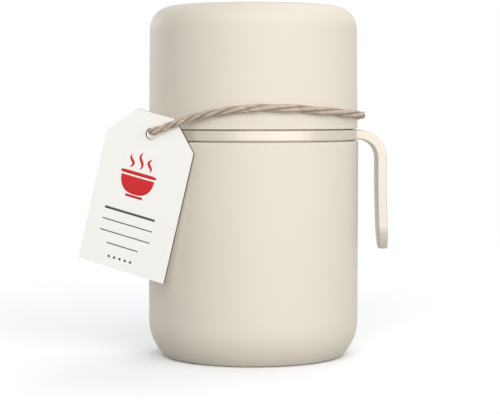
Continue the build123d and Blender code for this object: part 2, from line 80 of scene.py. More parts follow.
@dataclass
class Surface:
    """A grid of points, with a pattern coordinate for each.

    The first index runs along the surface and the second one across or around it.
    """

    points: Array
    pattern: Array
    round_it: bool = True  # whether the last column meets the first one
    crown: Array | None = None  # 0 in a furrow of the surface, 1 on its crown

    def faces(self, first: int) -> list[list[int]]:
        """List the surface's faces.

        Args:
            first: the number of its first vertex in the mesh.

        Returns:
            Its quads, and where it is round, a fan of triangles at each end.
        """
        rows, columns = self.points.shape[:2]
        index = first + np.arange(rows * columns).reshape(rows, columns)
        right = np.roll(index, -1, axis=1)
        if not self.round_it:
            index, right = index[:, :-1], index[:, 1:]
        quads = np.stack([index[:-1], right[:-1], right[1:], index[1:]], axis=-1)
        found = quads.reshape(-1, 4).tolist()
        if self.round_it:
            near, far = first + rows * columns, first + rows * columns + 1
            for ring, pole, flip in ((index[0], near, 1), (index[-1], far, -1)):
                pairs = zip(ring.tolist(), np.roll(ring, -1).tolist())
                found += [[pole, *(b, a)[::flip]] for a, b in pairs]
        return found

    def rows(self, grid: Array) -> Array:
        """Put a grid of points or values in the order of the mesh's vertices.

        Args:
            grid: what each of the surface's places has.

        Returns:
            One row for each place, and where the surface is round, the mean of each end.
        """
        flat = grid.reshape(-1, grid.shape[-1])
        ends = [grid[0].mean(axis=0), grid[-1].mean(axis=0)] if self.round_it else []
        return np.vstack([flat, *ends])

    def crowns(self) -> Array:
        """Return its crown values as pairs, and 1 all over where it has none."""
        crown = np.ones(self.points.shape[:2]) if self.crown is None else self.crown
        return np.stack([crown, crown], axis=-1)


def in_scene(name: str, data: bpy.types.ID) -> Piece:
    """Return a new object of the scene with that data."""
    made = bpy.data.objects.new(name, data)
    bpy.context.scene.collection.objects.link(made)
    return made


def coat(piece: Piece, material: Material) -> None:
    """Give a piece that one material."""
    piece.data.materials.clear()
    piece.data.materials.append(material)


def make_piece(name: str, surfaces: Sequence[Surface], material: Material) -> Piece:
    """Make one mesh object of several surfaces.

    Args:
        name: the piece's name.
        surfaces: what it is made of.
        material: its finish.

    Returns:
        The object, with the surfaces' patterns in its UV map "pattern" and their crowns in "crown".
    """
    points, faces = [], []
    maps = {"pattern": [], "crown": []}
    count = 0
    for surface in surfaces:
        faces += surface.faces(count)
        points.append(surface.rows(surface.points))
        maps["pattern"].append(surface.rows(surface.pattern))
        maps["crown"].append(surface.rows(surface.crowns()))
        count += len(points[-1])
    mesh = bpy.data.meshes.new(name)
    mesh.from_pydata(np.vstack(points), [], faces)
    corner_vertex = np.empty(len(mesh.loops), dtype=np.int32)
    mesh.loops.foreach_get("vertex_index", corner_vertex)
    for layer_name, values in maps.items():
        layer = mesh.uv_layers.new(name=layer_name)
        layer.data.foreach_set("uv", np.vstack(values)[corner_vertex].astype(np.float32).ravel())
    mesh.polygons.foreach_set("use_smooth", np.ones(len(mesh.polygons), dtype=bool))
    mesh.update()
    piece = in_scene(name, mesh)
    coat(piece, material)
    return piece


def unit(vectors: Array) -> Array:
    """Return the vectors at length one."""
    return vectors / np.linalg.norm(vectors, axis=-1, keepdims=True)


def arc_lengths(line: Array) -> Array:
    """Return the distance along the line at each of its points."""
    steps = np.linalg.norm(np.diff(line, axis=0), axis=1)
    return np.concatenate([[0.0], np.cumsum(steps)])


def spaced(line: Array, step: float) -> Array:
    """Divide a line evenly, with its two ends kept.

    Args:
        line: the line's points.
        step: about how far apart the new points are.

    Returns:
        The new points.
    """
    along = arc_lengths(line)
    marks = np.linspace(0, along[-1], max(2, round(along[-1] / step) + 1))
    return np.stack([np.interp(marks, along, line[:, axis]) for axis in range(3)], axis=1)


def frames(line: Array, upright: Sequence[float]) -> tuple[Array, Array]:
    """Work out two directions across a line at each of its points.

    The side is the tangent crossed with the upright direction, and the top is the side crossed with
    the tangent.

    Args:
        line: the line's points.
        upright: a direction that the line never runs along.

    Returns:
        The side and the top directions, as unit vectors.
    """
    tangent = unit(np.gradient(line, axis=0))
    side = unit(np.cross(tangent, upright))
    return side, np.cross(side, tangent)


def turned(angle: Array, side: Array, top: Array) -> Array:
    """Return the direction at each angle: the cosine along the side plus the sine along the top."""
    return np.cos(angle)[..., None] * side + np.sin(angle)[..., None] * top


# ---- finishes ----


class Grain(Enum):
    """Which way the fine lines of a machined or brushed surface run."""

    TURNED = "round the jar's axis"
    BAND = "round the band and along the strap"


class Nodes:
    """The nodes of a material or of the surroundings, with short calls for those in common use."""

    def __init__(self, owner: Material | bpy.types.World) -> None:
        """Start with no nodes."""
        owner.use_nodes = True
        self.tree = owner.node_tree
        self.tree.nodes.clear()

    def add(self, kind: str, feeds: dict[str | int, Feed] | None = None, **settings: str) -> bpy.types.Node:
        """Add a shader node.

        Args:
            kind: its type, without the words that all shader nodes' types begin with.
            feeds: what goes into its inputs, by their names or numbers.
            settings: its properties.

        Returns:
            The node.
        """
        node = self.tree.nodes.new("ShaderNode" + kind)
        for name, value in settings.items():
            setattr(node, name, value)
        for key, value in (feeds or {}).items():
            self.feed(node.inputs[key], value)
        return node

    def feed(self, target: Socket, value: Feed) -> None:
        """Link a socket to the target, or set the target to a plain value."""
        if isinstance(value, Socket):
            self.tree.links.new(value, target)
        else:
            target.default_value = value

    def sum_up(self, operation: str, *values: Socket | float) -> Socket:
        """Return the result of a Math node with those values."""
        return self.add("Math", dict(enumerate(values)), operation=operation).outputs["Value"]

    def seen(self) -> Socket:
        """Return 1 for rays from the camera, reflected rays and rays through glass, and 0 for others."""
        rays = self.add("LightPath").outputs
        reflected = self.sum_up("MAXIMUM", rays["Is Glossy Ray"], rays["Is Transmission Ray"])
        return self.sum_up("MAXIMUM", rays["Is Camera Ray"], reflected)


class Graph(Nodes):
    """A material's nodes, with short calls for those that the finishes share."""

    def __init__(self, name: str) -> None:
        """Start a material with one principled shader."""
        self.material = bpy.data.materials.new(name)
        super().__init__(self.material)
        self.shader = self.add("BsdfPrincipled")
        self.add("OutputMaterial", {"Surface": self.shader.outputs["BSDF"]})

    def place(self) -> Socket:
        """Return the point in the jar's own frame."""
        return self.add("TexCoord").outputs["Object"]

    def own(self, name: str) -> Socket:
        """Return one of the piece's own UV maps."""
        return self.add("UVMap", uv_map=name).outputs["UV"]

    def stretched(self, vector: Socket, scale: Sequence[float]) -> Socket:
        """Return the vector, multiplied along each axis."""
        return self.add("VectorMath", {0: vector, 1: scale}, operation="MULTIPLY").outputs["Vector"]

    def parts(self, vector: Socket) -> tuple[Socket, Socket, Socket]:
        """Return a vector's X, Y and Z."""
        return tuple(self.add("SeparateXYZ", {0: vector}).outputs)

    def vector(self, *values: Socket | float) -> Socket:
        """Return a vector made of three values."""
        return self.add("CombineXYZ", dict(enumerate(values))).outputs["Vector"]

    def length(self, *parts: Socket) -> Socket:
        """Return the length of a vector of two parts: the root of their squares' sum."""
        squares = [self.sum_up("MULTIPLY", part, part) for part in parts]
        return self.sum_up("SQRT", self.sum_up("ADD", *squares))

    def noise(self, vector: Socket, scale: float, detail: float = 2, rough: float = 0.5) -> Socket:
        """Return soft noise from 0 to 1, with that many features in a metre."""
        feeds = {"Vector": vector, "Scale": scale, "Detail": detail, "Roughness": rough}
        return self.add("TexNoise", feeds).outputs["Fac"]

    def cells(self, vector: Socket, scale: float) -> Socket:
        """Return the distance to the middle of the nearest cell, of which a metre holds that many."""
        return self.add("TexVoronoi", {"Vector": vector, "Scale": scale}).outputs["Distance"]

    def spread(self, value: Socket, source: Sequence[float], target: Sequence[float]) -> Socket:
        """Return the value moved from one range to another and kept inside it."""
        ends = zip(("From Min", "From Max", "To Min", "To Max"), (*source, *target))
        return self.add("MapRange", {"Value": value, **dict(ends)}).outputs["Result"]

    def mixed(self, share: Socket, first: Socket | Colour, second: Socket | Colour) -> Socket:
        """Return a colour between two, which a Mix node takes in its inputs 6 and 7."""
        ends = [end if isinstance(end, Socket) else (*end, 1.0) for end in (first, second)]
        return self.add("Mix", {0: share, 6: ends[0], 7: ends[1]}, data_type="RGBA").outputs[2]

    def set(self, name: str, value: Feed) -> None:
        """Feed one of the shader's own sockets."""
        self.feed(self.shader.inputs[name], value)

    def relief(self, height: Socket, depth: float) -> None:
        """Raise the surface by the height, from 0 to 1, times the depth."""
        self.set("Normal", self.add("Bump", {"Height": height, "Distance": depth}).outputs["Normal"])

    def turned_lines(self, length: float, width: float) -> Socket:
        """Work out a coordinate for fine lines round the axis, on walls and on flat faces alike.

        X and Y are divided by the lines' length, and height plus radius by their width.

        Args:
            length: how long the lines are.
            width: how wide they are.

        Returns:
            The coordinate.
        """
        x, y, z = self.parts(self.place())
        across = self.sum_up("ADD", z, self.length(x, y))
        return self.stretched(self.vector(x, y, across), (1 / length, 1 / length, 1 / width))


def shade(colour: Colour, factor: float) -> Colour:
    """Return the colour, lighter or darker by a factor."""
    return tuple(min(1.0, part * factor) for part in colour)


def linear(red: int, green: int, blue: int) -> Colour:
    """Return a display colour, given from 0 to 255, as linear light."""
    parts = [part / 255 for part in (red, green, blue)]
    return tuple(p / 12.92 if p <= 0.04045 else ((p + 0.055) / 1.055) ** 2.4 for p in parts)


@dataclass(frozen=True)
class Finish:
    """What every finish has: a name, a main colour, a roughness and how much the colour varies."""

    name: str
    colour: Colour
    rough: float
    vary: float = 0.02
    metal: float = 0.0
    specular: float = 0.5
    wander: float = 0.05  # how far the roughness wanders to each side

    def material(self) -> Material:
        """Make the finish's material.

        Returns:
            A material of its own, with the finish's name.
        """
        graph = Graph(self.name)
        graph.set("Metallic", self.metal)
        graph.set("Specular IOR Level", self.specular)
        graph.set("Roughness", self.rough)
        self.dress(graph)
        return graph.material

    def varied(self, graph: Graph, share: Socket) -> Socket:
        """Return the main colour, varied by a pattern from 0 to 1."""
        return graph.mixed(share, shade(self.colour, 1 - self.vary), shade(self.colour, 1 + self.vary))

    def tint(self, graph: Graph, share: Socket) -> None:
        """Give the surface the varied main colour."""
        graph.set("Base Color", self.varied(graph, share))

    def gloss(self, graph: Graph, noise: Socket) -> None:
        """Let the roughness wander with a noise."""
        ends = (self.rough - self.wander, self.rough + self.wander)
        graph.set("Roughness", graph.spread(noise, BULK, ends))

    def dress(self, graph: Graph) -> None:
        """Add the finish's own pattern and relief.

        Args:
            graph: the nodes of the finish's material.
        """
        raise NotImplementedError


@dataclass(frozen=True)
class PowderCoat(Finish):
    """Baked powder paint: a fine pebbled skin over a faint cloudiness."""

    grain: float = 0.45 * MM
    depth: float = 0.012 * MM
    cloud: float = 7 * MM

    def dress(self, graph: Graph) -> None:
        """Add pebbles of the grain's size, and clouds in colour and gloss."""
        place = graph.place()
        pebbles = graph.noise(place, 1 / self.grain, detail=3, rough=0.55)
        self.tint(graph, graph.noise(place, 1 / self.cloud, detail=4, rough=0.6))
        self.gloss(graph, pebbles)
        graph.relief(pebbles, self.depth)


@dataclass(frozen=True)
class Brushed(Finish):
    """Brushed or spun metal, with fine lines one way."""

    grain: Grain = Grain.TURNED
    line: float = 14 * MM
    width: float = 0.16 * MM
    depth: float = 0.004 * MM
    strap_from: float = 0.0  # past this X, the lines follow the strap
    bend: Pair = (0.0, 0.0)  # X and Z of the middle of the strap's bend

    def strap_lines(self, graph: Graph) -> Socket:
        """Work out a coordinate for lines along the bent strap.

        Across the strap it is Y and the distance from the bend's middle, where X and Z short of the
        middle count as nothing.

        Args:
            graph: the nodes of the finish's material.

        Returns:
            The coordinate, stretched along the lines.
        """
        x, y, z = graph.parts(graph.place())
        beyond = graph.sum_up("MAXIMUM", graph.sum_up("SUBTRACT", x, self.bend[0]), 0.0)
        above = graph.sum_up("MAXIMUM", graph.sum_up("SUBTRACT", z, self.bend[1]), 0.0)
        along = graph.sum_up("SUBTRACT", x, z)
        scale = (1 / self.line, 1 / self.width, 1 / self.width)
        return graph.stretched(graph.vector(along, y, graph.length(beyond, above)), scale)

    def dress(self, graph: Graph) -> None:
        """Add the lines to the colour, the gloss and the relief."""
        where = graph.turned_lines(self.line, self.width)
        if self.grain is Grain.BAND:
            past = graph.sum_up("GREATER_THAN", graph.parts(graph.place())[0], self.strap_from)
            feeds = {0: past, 4: where, 5: self.strap_lines(graph)}  # 4 and 5 are its vectors
            where = graph.add("Mix", feeds, data_type="VECTOR").outputs[1]
        lines = graph.noise(where, 1, detail=3, rough=0.6)
        self.tint(graph, lines)
        self.gloss(graph, lines)
        graph.relief(lines, self.depth)


@dataclass(frozen=True)
class Moulded(Finish):
    """Moulded plastic or rubber with a fine spark-eroded skin."""

    wander: float = 0.04
    grain: float = 0.3 * MM
    flows: float = 60.0  # slow changes of gloss in a metre
    depth: float = 0.01 * MM

    def dress(self, graph: Graph) -> None:
        """Add the skin's grain, and a slow change of gloss."""
        place = graph.place()
        graph.relief(graph.noise(place, 1 / self.grain), self.depth)
        flow = graph.noise(place, self.flows)
        self.tint(graph, flow)
        self.gloss(graph, flow)


@dataclass(frozen=True)
class Wrinkled(Finish):
    """Thin foil, wrapped by hand, with creases of all sizes."""

    crease: float = 9 * MM
    clouds: float = 90.0  # of oxide, in a metre
    depth: float = 0.3 * MM

    def dress(self, graph: Graph) -> None:
        """Add the creases as relief and the oxide as colour."""
        place = graph.place()
        graph.relief(graph.cells(place, 1 / self.crease), self.depth)
        self.tint(graph, graph.noise(place, self.clouds, detail=4, rough=0.6))


@dataclass(frozen=True)
class Beaded(Finish):
    """Foam of pressed beads."""

    bead: float = 2.6 * MM
    depth: float = 0.35 * MM

    def dress(self, graph: Graph) -> None:
        """Add the beads as cells, lower where they meet, with painted shade there."""
        beads = graph.cells(graph.place(), 1 / self.bead)
        swell = graph.spread(beads, (0.0, 0.7), (1.0, 0.0))
        graph.relief(swell, self.depth)
        # painted shade: the colour darkens towards the crevices where the beads meet
        self.tint(graph, swell)


@dataclass(frozen=True)
class Card(Finish):
    """Thick uncoated card: white faces, and a cut edge painted near black: its grey core, darkened to stand
    for the shadow along the edge.
    """

    wander: float = 0.06
    # partly painted shadow: the grey core's colour taken nearly to black for the shadow along the card's
    # edge
    edge_core_and_shadow: Colour = (0.03, 0.028, 0.024)
    facing: Triple = (0.0, -1.0, 0.0)
    middle: float = 0.0  # how far the card's middle is from the axis, along the way that it faces
    half: float = 0.6 * MM  # half the card's thickness
    fibre: float = 0.35 * MM
    clouds: float = 160.0  # in a metre of a face
    plies: float = 900.0  # in a metre across the edge
    depth: float = 0.006 * MM
    face_skin: float = 0.03 * MM  # how deep the white of the faces reaches

    def dress(self, graph: Graph) -> None:
        """Add paper fibre to the faces, and between them the edge colour: grey core and painted shadow."""
        place = graph.place()
        fibres = graph.noise(graph.stretched(place, (1.0, 1.0, 0.4)), 1 / self.fibre, detail=5, rough=0.7)
        faces = self.varied(graph, graph.noise(place, self.clouds, detail=3))
        out = graph.add("VectorMath", {0: place, 1: self.facing}, operation="DOT_PRODUCT")
        off = graph.sum_up("SUBTRACT", out.outputs["Value"], self.middle)
        # the cut edge between the faces, which gets the grey core darkened by painted shadow
        core_and_shadow = graph.sum_up("LESS_THAN", graph.sum_up("ABSOLUTE", off), self.half - self.face_skin)
        plies = graph.noise(graph.stretched(place, (3.0, 3.0, 1.0)), self.plies, rough=0.6)
        edges = graph.mixed(plies, shade(self.edge_core_and_shadow, 0.8), shade(self.edge_core_and_shadow, 1.25))
        graph.set("Base Color", graph.mixed(core_and_shadow, faces, edges))
        self.gloss(graph, fibres)
        graph.relief(fibres, self.depth)


@dataclass(frozen=True)
class Ink(Finish):
    """Printed ink on card: even, with the card's fibre faintly through it."""

    fibres: float = 2600.0  # in a metre
    depth: float = 0.004 * MM

    def dress(self, graph: Graph) -> None:
        """Add the card's fibre to the colour and the relief."""
        fibres = graph.noise(graph.place(), self.fibres, detail=4, rough=0.6)
        self.tint(graph, fibres)
        graph.relief(fibres, self.depth)


@dataclass(frozen=True)
class Jute(Finish):
    """Spun plant fibre: streaks along each strand, painted shade in its furrows, with a soft fuzz."""

    dark: Colour = (0.21, 0.152, 0.102)
    light: Colour = (0.74, 0.62, 0.49)
    streak: float = 7 * MM
    around: float = 16.0  # streaks round one strand
    patches: float = 2.5  # light patches round one strand, four times as long as a streak
    dark_ends: Pair = (0.25, 0.55)  # streak values between which the dark fades
    fuzz: float = 0.15
    fuzz_rough: float = 0.6
    painted_furrow_span: Pair = (0.5, 0.88)  # crown values between which the painted shade of a furrow fades out
    # painted shade: the dark colour laid into the furrows between strands, where shadow falls
    painted_furrow_shade: Colour = (0.085, 0.061, 0.04)
    depth: float = 0.07 * MM

    def dress(self, graph: Graph) -> None:
        """Add streaks on the pattern coordinate: turns round the strand and metres along it."""
        where = graph.own("pattern")
        narrow = graph.stretched(where, (self.around, 1 / self.streak, 1.0))
        streaks = graph.noise(narrow, 1, detail=4, rough=0.65)
        patches = graph.noise(graph.stretched(where, (self.patches, 1 / (4 * self.streak), 1.0)), 1)
        blond = graph.mixed(graph.spread(patches, BULK, (0.0, 1.0)), self.colour, self.light)
        share = graph.spread(streaks, self.dark_ends, (0.0, 1.0))
        # painted shade: the colour darkens from each strand's crown into the furrows between strands
        out = graph.spread(graph.parts(graph.own("crown"))[0], self.painted_furrow_span, (0.0, 1.0))
        graph.set("Base Color", graph.mixed(out, self.painted_furrow_shade, graph.mixed(share, self.dark, blond)))
        graph.set("Sheen Weight", self.fuzz)
        graph.set("Sheen Roughness", self.fuzz_rough)
        graph.set("Sheen Tint", (*self.light, 1.0))
        graph.relief(streaks, self.depth)


# ---- the jar's own pieces ----


@dataclass
class Dress:
    """Gives each listed piece of the frame its finish."""

    nodes: dict[str, Piece]
    finishes: tuple[tuple[Finish, tuple[str, ...]], ...] = (
        (PowderCoat("powder_coat_cream", linear(227, 219, 205), 0.56, vary=0.012, specular=0.4),
         ("outer_shell", "cap_shell")),
        (Brushed("brushed_band", linear(209, 201, 188), 0.4, vary=0.05, metal=0.35,
                 grain=Grain.BAND, strap_from=47.05 * MM, bend=(46.65 * MM, 88.7 * MM)),
         ("handle_band",)),
        (Brushed("spun_steel", (0.56, 0.55, 0.53), 0.3, vary=0.06, metal=1.0),
         ("inner_liner", "base_plate", "vacuum_seal")),
        (Moulded("getter_alloy", (0.12, 0.12, 0.12), 0.6, vary=0.2, metal=0.7), ("getter",)),
        (Moulded("foot_rubber", (0.64, 0.59, 0.51), 0.7), ("base_foot",)),
        (Wrinkled("copper_foil", (0.72, 0.36, 0.22), 0.25, vary=0.12, metal=1.0), ("copper_foil",)),
        (Moulded("cap_liner_plastic", linear(232, 226, 213), 0.5, vary=0.015), ("cap_liner",)),
        (Beaded("pressed_foam", (0.86, 0.85, 0.82), 0.85, vary=0.06), ("cap_foam", "stopper_foam")),
        (Moulded("seal_silicone", (0.55, 0.52, 0.48), 0.45, vary=0.03, depth=0.004 * MM),
         ("cap_seal", "stopper_gasket", "valve_seal")),
        (Moulded("stopper_plastic", linear(228, 220, 204), 0.48, vary=0.015),
         ("stopper_body", "stopper_cover")),
        (Moulded("button_plastic", linear(170, 156, 138), 0.4, vary=0.03, depth=0.004 * MM),
         ("valve_button", "valve_stem")),
        (Brushed("spring_wire", (0.6, 0.6, 0.6), 0.25, vary=0.03, metal=1.0), ("valve_spring",)),
    )

    def apply(self) -> None:
        """Make each finish once and put it on its pieces."""
        for finish, names in self.finishes:
            material = finish.material()
            for name in names:
                coat(self.nodes[name], material)
                LOG.info("%s has %s", name, finish.name)

    def load_spring(self) -> None:
        """Give the valve's spring a mesh of its own.
        """
        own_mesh(self.nodes["valve_spring"])


# ---- twine ----


@dataclass
class Rope:
    """Twine of twisted strands laid along a line.

    Each strand winds round the line, and fine ridges of fibre wind round each strand the other way.
    """

    radius: float = 1.72 * MM
    strands: int = 3
    strand_share: float = 0.54  # a strand's radius as a share of the twine's
    lay: float = 17 * MM  # how far one strand goes for a full turn
    ridge: float = 0.05  # height of a fibre ridge as a share of the strand's radius
    ridges: int = 7
    fibre_lay: float = 9 * MM
    columns: int = 30
    step: float = 0.42 * MM
    upright: Triple = (0.0, 0.0, 1.0)  # a direction that the line never runs along
    # size of each slow wave in a strand's thickness, its length over a full turn, and its shift
    waves: tuple[tuple[float, float, int], ...] = (
        (0.015, 3.1 * MM, 1), (0.035, 7.3 * MM, 2), (0.03, 19 * MM, 4)
    )
    # size and length over a full turn of the two waves by which the ridges wander
    wander: tuple[Pair, Pair] = ((0.6, 5.3 * MM), (0.4, 2.7 * MM))
    hair_count: int = 260
    hair_seed: int = 7
    hair_length: Pair = (2.0 * MM, 6.5 * MM)
    hair_lift: Pair = (0.1 * MM, 0.55 * MM)
    hair_bend: float = 0.8 * MM
    hair_root: float = 0.84  # where a hair starts, as a share of the twine's radius
    hair_radius: Pair = (0.025 * MM, 0.045 * MM)

    def winding(self, along: Array) -> Array:
        """Return the angle that the strands have turned through at each distance along the line."""
        return math.tau * along / self.lay

    def thinned(self, along: Array) -> Array:
        """Return the share of the full thickness at each distance: all of it."""
        return np.ones_like(along)

    def swell(self, along: Array, number: int) -> Array:
        """Return how a strand's thickness wanders along it: slow waves about 1."""
        return 1 + sum(size * np.sin(along / pitch + turn * number) for size, pitch, turn in self.waves)

    def surfaces(self, line: Array) -> list[Surface]:
        """Work out the strands' skins.

        A strand's middle is the line's point plus a circle of the offset's radius at the winding
        angle. The skin round it gets a crown value: its distance from the line over the twine's
        radius, which is 1 on the outside and less in a furrow.

        Args:
            line: the line that the twine follows.

        Returns:
            One surface for each strand.
        """
        line = spaced(line, self.step)
        along = arc_lengths(line)
        side, top = frames(line, self.upright)
        size = self.thinned(along)
        strand_radius = self.radius * self.strand_share
        offset = (self.radius - strand_radius) * size
        found = []
        for number in range(self.strands):
            angle = self.winding(along) + math.tau * number / self.strands
            middle = line + offset[:, None] * turned(angle, side, top)
            skin = self.skin(middle, strand_radius * size * self.swell(along, number), number)
            from_line = np.linalg.norm(skin.points - line[:, None], axis=-1)
            skin.crown = np.clip(from_line / (self.radius * size[:, None]), 0, 1)
            found.append(skin)
        return found

    def skin(self, middle: Array, radius: Array, number: int) -> Surface:
        """Work out one strand's skin round its middle line.

        It is a circle with the radius times one plus two waves of ridges, each the size of a sine.
        The ridges turn with the fibres and wander by slow sines.

        Args:
            middle: the strand's middle line.
            radius: the strand's radius at each point.
            number: which strand it is, which shifts its ridges.

        Returns:
            The skin, with turns round the strand and metres along it as its pattern.
        """
        along = arc_lengths(middle)[:, None]
        side, top = frames(middle, self.upright)
        around = math.tau * np.arange(self.columns)[None, :] / self.columns
        fibre = around + math.tau * along / self.fibre_lay
        (slow, far), (quick, near) = self.wander
        wander = slow * np.sin(along / far + number) + quick * np.sin(2 * around + along / near)
        wide = np.abs(np.sin(self.ridges * fibre / 2 + wander))
        fine = np.abs(np.sin(self.ridges * fibre + number))
        reach = radius[:, None] * (1 - self.ridge + self.ridge * (wide + 0.5 * fine))
        points = middle[:, None] + reach[..., None] * turned(around, side[:, None], top[:, None])
        pattern = np.stack([fibre / math.tau, np.broadcast_to(along, fibre.shape)], axis=-1)
        return Surface(points, pattern)

    def hairs(self, line: Array) -> list[Surface]:
        """Work out stray fibres that lift off the twine.

        A hair starts on the twine's skin and runs along it one way, lifts by the square of the way
        along, and bends sideways by a sine. It narrows to a point.

        Args:
            line: the line that the twine follows.

        Returns:
            One thin three-sided surface for each hair.
        """
        count = self.hair_count
        draw = np.random.default_rng(self.hair_seed)
        line = spaced(line, self.step)
        side, top = frames(line, self.upright)
        tangent = unit(np.gradient(line, axis=0))
        root = draw.integers(8, len(line) - 8, count)
        angle = draw.uniform(0, math.tau, count)
        out = turned(angle, side[root], top[root])
        sideways = np.cross(tangent[root], out)
        way = np.linspace(0, 1, 7)[None, :, None]
        length = draw.uniform(*self.hair_length, (count, 1, 1))
        heading = draw.choice([-1.0, 1.0], (count, 1, 1))
        lift = draw.uniform(*self.hair_lift, (count, 1, 1))
        bend = draw.uniform(-self.hair_bend, self.hair_bend, (count, 1, 1))
        start = line[root] + out * self.radius * self.hair_root
        middle = (start[:, None] + heading * length * way * tangent[root][:, None]
                  + lift * way**2 * out[:, None] + bend * np.sin(2 * way) * sideways[:, None])
        thick = draw.uniform(*self.hair_radius, (count, 1)) * (1 - 0.8 * way[..., 0])
        return [self.hair(one, size) for one, size in zip(middle, thick)]

    @staticmethod
    def hair(middle: Array, radius: Array) -> Surface:
        """Work out a three-sided tube.

        Args:
            middle: its middle line.
            radius: its radius at each point.

        Returns:
            The tube, with metres along it as its pattern.
        """
        tangent = unit(np.gradient(middle, axis=0))
        least = np.eye(3)[np.abs(tangent.mean(axis=0)).argmin()]
        side, top = frames(middle, least)
        around = math.tau * np.arange(3) / 3
        ring = turned(around, side[:, None], top[:, None])
        points = middle[:, None] + radius[:, None, None] * ring
        pattern = np.zeros((*points.shape[:2], 2))
        pattern[..., 1] = arc_lengths(middle)[:, None]
        return Surface(points, pattern)


@dataclass
class TightRope(Rope):
    """Twine that is twisted tighter and drawn thinner where it carries the tag."""

    tight_at: float = 0.0
    tight_reach: float = 34 * MM
    loose_lay: float = 58 * MM
    tight_lay: float = 16 * MM
    tight_thin: float = 0.11  # how much thinner the twine is at the tag

    def closeness(self, along: Array) -> Array:
        """Return 1 at the tag, falling to 0 away from it as a bell curve."""
        return np.exp(-(((along - self.tight_at) / self.tight_reach) ** 2))

    def winding(self, along: Array) -> Array:
        """Work out the strands' angle: the turns per metre, added up along the line.

        Args:
            along: distances along the line.

        Returns:
            The angle at each of them.
        """
        near = self.closeness(along)
        turns = (1 - near) / self.loose_lay + near / self.tight_lay
        steps = np.diff(along, prepend=along[0])
        return math.tau * np.cumsum(turns * steps)

    def thinned(self, along: Array) -> Array:
        """Return the share of the full thickness: less near the tag."""
        return 1 - self.tight_thin * self.closeness(along)


@dataclass
class Tail(Rope):
    """One of the twine's two cut ends, thinner and frayed at the cut."""

    radius: float = 1.35 * MM
    lay: float = 10 * MM
    upright: Triple = (0.0, 1.0, 0.0)
    lean: int = 1  # 1 for the end on the handle's side, -1 for the other one
    length: float = 14 * MM
    tilt: float = 16.0  # degrees that it leans out
    curl: float = 0.9 * MM
    thin: float = 0.25  # how much thinner it is at the cut
    fray_count: int = 46
    fray_length: Pair = (2.2 * MM, 4.6 * MM)
    fray_flare: Pair = (0.2 * MM, 1.3 * MM)
    fray_radius: Pair = (0.05 * MM, 0.1 * MM)

    def thinned(self, along: Array) -> Array:
        """Return the share of the full thickness: less by the fourth power of the way to the cut."""
        return 1 - self.thin * (along / along[-1]) ** 4

    def line(self, knot: Triple, start: float) -> Array:
        """Work out how the end hangs: it leans out, more so further down, and curls by a sine.

        Args:
            knot: the knot's middle.
            start: how far from there along X the end comes out.

        Returns:
            The line's points from the knot down.
        """
        share = np.linspace(0, 1, 60)
        tilt = math.radians(self.tilt)
        drop = self.length * share
        out = self.lean * (start + drop * math.sin(tilt) * (0.6 + 0.4 * share))
        back = self.curl * np.sin(share * 3.0 + self.lean)
        return np.stack([out, back, -drop * math.cos(tilt)], axis=1) + knot

    def fray(self, line: Array) -> list[Surface]:
        """Work out the loose fibres at the cut.

        Each fibre starts inside the end and carries on down, and spreads outwards by the square of
        the way along.

        Args:
            line: the end's line.

        Returns:
            One thin surface for each fibre.
        """
        count = self.fray_count
        draw = np.random.default_rng(20 + self.lean)
        down = unit(line[-1] - line[-4])
        out = turned(draw.uniform(0, math.tau, count), *np.eye(3)[:2])
        start = line[-6] + out * self.radius * np.sqrt(draw.uniform(0, 0.7, (count, 1)))
        way = np.linspace(0, 1, 6)[None, :, None]
        length = draw.uniform(*self.fray_length, (count, 1, 1))
        flare = draw.uniform(*self.fray_flare, (count, 1, 1))
        middle = start[:, None] + length * way * down + flare * way**2 * out[:, None]
        thick = draw.uniform(*self.fray_radius, (count, 1)) * (1 - 0.7 * way[..., 0])
        return [self.hair(one, size) for one, size in zip(middle, thick)]


